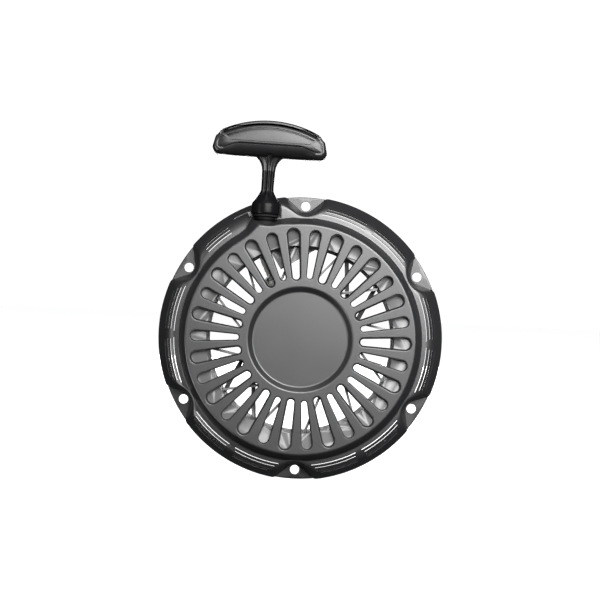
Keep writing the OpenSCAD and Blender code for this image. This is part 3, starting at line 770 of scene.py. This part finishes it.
def metal(name, colour, rough_low, rough_high, streak_mm, axis="Z"):
    """Bare or plated steel with fine tool marks and faint staining."""
    material, output = new_material(name)
    place = add_node(material, "ShaderNodeTexCoord")
    stretch = add_node(material, "ShaderNodeMapping", {"Vector": place.outputs["Object"]},
                       Scale=(1.0, 0.12, 1.0) if axis == "Y" else (1.0, 1.0, 0.2))
    marks = add_node(material, "ShaderNodeTexNoise", {"Vector": stretch.outputs[0]},
                     Scale=1000 / streak_mm, Detail=3.0)
    stain = add_node(material, "ShaderNodeTexNoise", {"Vector": place.outputs["Object"]},
                     Scale=1 / 0.006, Detail=4.0)
    gloss = add_node(material, "ShaderNodeMapRange", {"Value": stain.outputs["Fac"]},
                     To_Min=rough_low, To_Max=rough_high)
    tone = add_node(material, "ShaderNodeMix", {"Factor": stain.outputs["Fac"]}, data_type="RGBA")
    tone.inputs[6].default_value = srgb(colour[0])
    tone.inputs[7].default_value = srgb(colour[1])
    bump = add_node(material, "ShaderNodeBump", {"Height": marks.outputs["Fac"]},
                    Strength=0.15, Distance=0.00003)
    surface = add_node(material, "ShaderNodeBsdfPrincipled",
                       {"Base Color": tone.outputs[2], "Roughness": gloss.outputs[0],
                        "Normal": bump.outputs[0]}, Metallic=1.0)
    material.node_tree.links.new(surface.outputs[0], output.inputs[0])
    return material


zinc = metal("zinc plated steel", ("#A9ABAD", "#BFC0C0"), 0.3, 0.45, 0.6)
turned = metal("turned steel", ("#8E8F92", "#A3A4A6"), 0.25, 0.4, 0.3, "Y")
tempered = metal("blued spring steel", ("#4A4C52", "#5C5E64"), 0.25, 0.38, 0.5)
black_nylon = moulded("matt black nylon", "#0B0B0C", "#121213", 0.7, 0.85, 0.5, 0.00004, 0.12)

dress(softened("spring_cover", "drum_cover", 0.12), zinc, "reel", "zinc_steel", "spring_cover")
dress(softened("cover_screws", "drum_screws", 0.12), zinc, "reel", "zinc_steel", "cover_screws")
dress(softened("centre_post", "spring_post", 0.2), turned, "cover", "plain_steel", "centre_post")
dress(softened("thrust_washer", "hub_washer", 0.08), black_nylon, "cover", "black_nylon",
      "thrust_washer")
dress(softened("recoil_spring", "recoil_strip", 0.0, 40), tempered, "reel", "spring_steel",
      "recoil_spring")

# ---------------------------------------------------------------------------------------------
# Ratchet. Two hardened pawls on pins, turned out by the slotted guide plate, with their light
# springs; the plate is pressed on the screw's washer by the brake spring.

for node in ("pawl_left", "pawl_right"):
    dress(softened(node, node.replace("pawl", "latch"), 0.35), turned, node, "plain_steel", node)
dress(softened("ratchet_guide", "guide_disc", 0.25), zinc, "guide_plate", "zinc_steel",
      "ratchet_guide")
dress(softened("screw_washer", "screw_seat", 0.12), zinc, "cover", "zinc_steel", "screw_washer")
dress(softened("centre_screw", "hub_screw", 0.35), zinc, "cover", "zinc_steel", "centre_screw")


def sweep(bm, path, radius, sides, twist_mm=0.0, lobes=0, depth=0.0, laid=None):
    """A tube along a path of local points, plain or laid in strands that twist along it."""
    station = bm.verts.layers.int.get("station") or bm.verts.layers.int.new("station")
    run, lengths = 0.0, [0.0]
    for a, b in zip(path, path[1:]):
        run += (b - a).length
        lengths.append(run)
    laid = laid or lengths

    def place(row, i):
        ahead = (path[min(row + 1, len(path) - 1)] - path[max(row - 1, 0)]).normalized()
        aside = ahead.cross(Vector((0, 0, 1)))
        aside = aside.normalized() if aside.length > 0.01 else Vector((1, 0, 0))
        above = aside.cross(ahead)
        angle = math.tau * i / sides
        swell = 1.0
        if lobes:
            phase = lobes * (angle - math.tau * laid[row] / twist_mm)
            swell = 1.0 - depth * (1.0 - abs(math.sin(phase / 2))) ** 1.5
        way = aside * math.cos(angle) + above * math.sin(angle)
        return path[row] + way * radius * swell

    start = first_ring(bm, sides, lambda i: place(0, i))
    bmesh.ops.edgeloop_fill(bm, edges=start)
    ring = start
    for row in range(1, len(path)):
        ring = carry(bm, ring, lambda i: place(row, i))
    bmesh.ops.edgeloop_fill(bm, edges=ring)


def wire_piece(name, path, radius, body, node, sides=16):
    """A spring bent from round wire."""
    bm = bmesh.new()
    sweep(bm, path, radius, sides)
    bmesh.ops.recalc_face_normals(bm, faces=bm.faces)
    dress(settle(make_piece(bm, name), 50), tempered, body, "spring_steel", node)


def coil(middle, radius, low, high, turns, start, way, steps=48):
    """Points of a coil about the Z axis."""
    count = int(steps * turns)
    return [Vector((middle[0] + radius * math.cos(start + way * math.tau * turns * i / count),
                    middle[1] + radius * math.sin(start + way * math.tau * turns * i / count),
                    low + (high - low) * i / count)) for i in range(count + 1)]


brake_low, brake_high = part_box("brake_spring")
brake_wire_r, brake_turns = 0.45, 1.5
brake_r = brake_high.x * MM - brake_wire_r
wire_piece("brake_coil", coil((0, 0), brake_r, -brake_high.y * MM + brake_wire_r,
                              -brake_low.y * MM - brake_wire_r, brake_turns, 0, 1),
           brake_wire_r, "reel", "brake_spring")
latch_wire_r, latch_coil_r, latch_leg, latch_pin = 0.25, 4.4, 7, 24.0
for node, side in (("pawl_spring_right", 1), ("pawl_spring_left", -1)):
    low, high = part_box(node)
    front, back_z = -low.y * MM - latch_wire_r, -high.y * MM + latch_wire_r
    hub = Vector((latch_pin * side, 0, 0))
    path = [Vector((latch_coil_r, latch_leg, back_z))]
    path += coil((0, 0), latch_coil_r, back_z, front, 2, 0, -1)
    path.append(Vector((latch_coil_r, -latch_leg, front)))
    path = [hub + Vector((q.x * side, q.y * side, q.z)) for q in path]
    wire_piece(node.replace("pawl_spring", "latch_spring"), path, latch_wire_r, "reel", node, 10)

# ---------------------------------------------------------------------------------------------
# Rope guide. A black nylon eyelet pushed through the cover's end wall and held by a spring clip.

dress(softened("rope_guide", "rope_eyelet", 0.3), black_nylon, "cover", "black_nylon",
      "rope_guide")
# The clip's steel is painted near black: painted shade for the dark gap under the handle's collar
clip_shade_steel = metal("spring steel darkened as painted shade", ("#0E0E10", "#151517"), 0.55, 0.7, 0.5)
dress(softened("guide_clip", "eyelet_clip", 0.15), clip_shade_steel, "cover", "spring_steel",
      "guide_clip")

# ---------------------------------------------------------------------------------------------
# Rope. Three laid strands of nylon, 4 mm across: wound in the reel's groove from a knot in its
# cup, out through the eyelet and up the handle's stem to a knot on a washer under the crown.


def laid_rope():
    """Grey nylon rope: fine yarns that follow the lay, with a soft sheen."""
    material, output = new_material("laid nylon rope")
    place = add_node(material, "ShaderNodeTexCoord")
    yarn = add_node(material, "ShaderNodeTexNoise", {"Vector": place.outputs["Object"]},
                    Scale=1 / 0.0007, Detail=3.0, Roughness=0.7)
    tone = add_node(material, "ShaderNodeMix", {"Factor": yarn.outputs["Fac"]}, data_type="RGBA")
    tone.inputs[6].default_value = srgb("#4C4C4A")
    tone.inputs[7].default_value = srgb("#8C8C88")
    bump = add_node(material, "ShaderNodeBump", {"Height": yarn.outputs["Fac"]},
                    Strength=0.5, Distance=0.0001)
    surface = add_node(material, "ShaderNodeBsdfPrincipled",
                       {"Base Color": tone.outputs[2], "Normal": bump.outputs[0]},
                       Roughness=0.75, Sheen_Weight=0.3)
    material.node_tree.links.new(surface.outputs[0], output.inputs[0])
    return material


nylon_rope = laid_rope()
rope_r, lay_mm = 2.0, 13.0
strands, strand_groove = 3, 0.22
knot_low, knot_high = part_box("reel_knot")
knot_mid = (knot_low + knot_high) / 2 * MM
knot_at = Vector((knot_mid.x, knot_mid.z, rope_z))
knot_way = knot_at.to_2d().normalized()
knot_dist = knot_at.to_2d().length
first_turn, last_turn = 71.1, 79.3
knot_angle = math.degrees(math.atan2(knot_way.y, knot_way.x))
anchor = outlet - Vector((0, 6.0))
leave = math.degrees(math.atan2(anchor.y, anchor.x)) + math.degrees(
    math.acos(last_turn / anchor.length))
wound = 720 + knot_angle - leave


def round_reel(r, degrees):
    """A place in the middle of the groove."""
    return Vector((r * math.cos(math.radians(degrees)), r * math.sin(math.radians(degrees)),
                   rope_z))


tail = [(knot_dist + 3, 0), (knot_dist + 10, 0), (63.5, 0.2), (67.5, 1), (69.8, 3)]
coarse = [round_reel(r, knot_angle - a) for r, a in tail]
wound_path = []
for a, b in zip(coarse, coarse[1:]):
    wound_path += [a.lerp(b, k / 8) for k in range(8)]
turn_steps = 700
wound_path += [round_reel(first_turn + (last_turn - first_turn) * i / turn_steps,
                          knot_angle - 3 - (wound - 3) * i / turn_steps)
               for i in range(turn_steps + 1)]
winding = bmesh.new()
sweep(winding, wound_path, rope_r, 18, lay_mm, strands, strand_groove)
bmesh.ops.recalc_face_normals(winding, faces=winding.faces)
dress(settle(make_piece(winding, "rope_winding"), 60), nylon_rope, "reel", "rope", "rope_coil")

# The run to the outlet lies on the cover. From there the rope is laid as it looks drawn out, so
# it is packed close inside the stem, with its lay bunched so that it would be even once drawn out
# by the handle's full travel.
leave_at = round_reel(last_turn, leave)
corners = [leave_at] + [Vector((outlet.x + u, outlet.y + v, rope_z)) for u, v in (
    (-8, -14.2), (-4.2, -10), (-1.4, -6), (-0.15, -2.5))]
route = []
for a, b in zip(corners, corners[1:]):
    steps = max(2, int((b - a).length / 0.9))
    route += [a.lerp(b, k / steps) for k in range(steps)]
route.append(in_outlet(-0.1, -1.0, 0))
drawn = next(j for j in frame["record"]["behaviour"]["joints"] if j["name"] == "handle_pull")
draw_mm = drawn["range_m"][1] * MM
start_v, end_v = 1.2, 50.0
stretch_rows = 1000
laid_at, run = [], 0.0
for k, spot in enumerate(route):
    run += (spot - route[k - 1]).length if k else 0.0
    laid_at.append(run)
for k in range(stretch_rows + 1):
    share = k / stretch_rows
    eased_share = share * share * (3 - 2 * share)
    spot = in_outlet(0, start_v + (end_v - start_v) * share, 0)
    route.append(spot)
    laid_at.append(run + 2.0 + (end_v - start_v) * share + draw_mm * eased_share)
lead = bmesh.new()
sweep(lead, route, rope_r, 18, lay_mm, strands, strand_groove, laid_at)
bmesh.ops.recalc_face_normals(lead, faces=lead.faces)
pull_rope = settle(make_piece(lead, "pull_rope"), 60)
pull_rope.data.materials.clear()
pull_rope.data.materials.append(nylon_rope)
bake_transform(pull_rope)
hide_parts("rope_lead")


def tie(name, middle, way, size, body, node):
    """A thumb knot: one crossing turn of the rope drawn up tight."""
    aside = way.cross(Vector((0, 0, 1))).normalized()
    above = aside.cross(way)
    path = []
    for i in range(97):
        t = math.tau * i / 96
        ring = 1.0 + 0.35 * math.cos(3 * t)
        path.append(middle + aside * (size * 0.45 * ring * math.cos(2 * t))
                    + above * (size * 0.45 * ring * math.sin(2 * t))
                    + way * (size * 0.32 * math.sin(3 * t)))
    bm = bmesh.new()
    sweep(bm, path, rope_r * 0.86, 16, lay_mm, strands, 0.2)
    bmesh.ops.recalc_face_normals(bm, faces=bm.faces)
    dress(settle(make_piece(bm, name), 60), nylon_rope, body, "rope", node)


knot_size = 3.2
tie("reel_end_knot", Vector((knot_at.x, knot_at.y, -knot_mid.y)), Vector((0, 1, 0.0)),
    knot_size, "reel", "reel_knot")
grip_mid = sum(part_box("grip_knot"), Vector((0, 0, 0))) / 2 * MM
tie("grip_end_knot", Vector((grip_mid.x, grip_mid.z, -grip_mid.y)), pull.to_3d(), knot_size,
    "handle", "grip_knot")
dress(softened("grip_washer", "knot_washer", 0.12), zinc, "handle", "zinc_steel", "grip_washer")
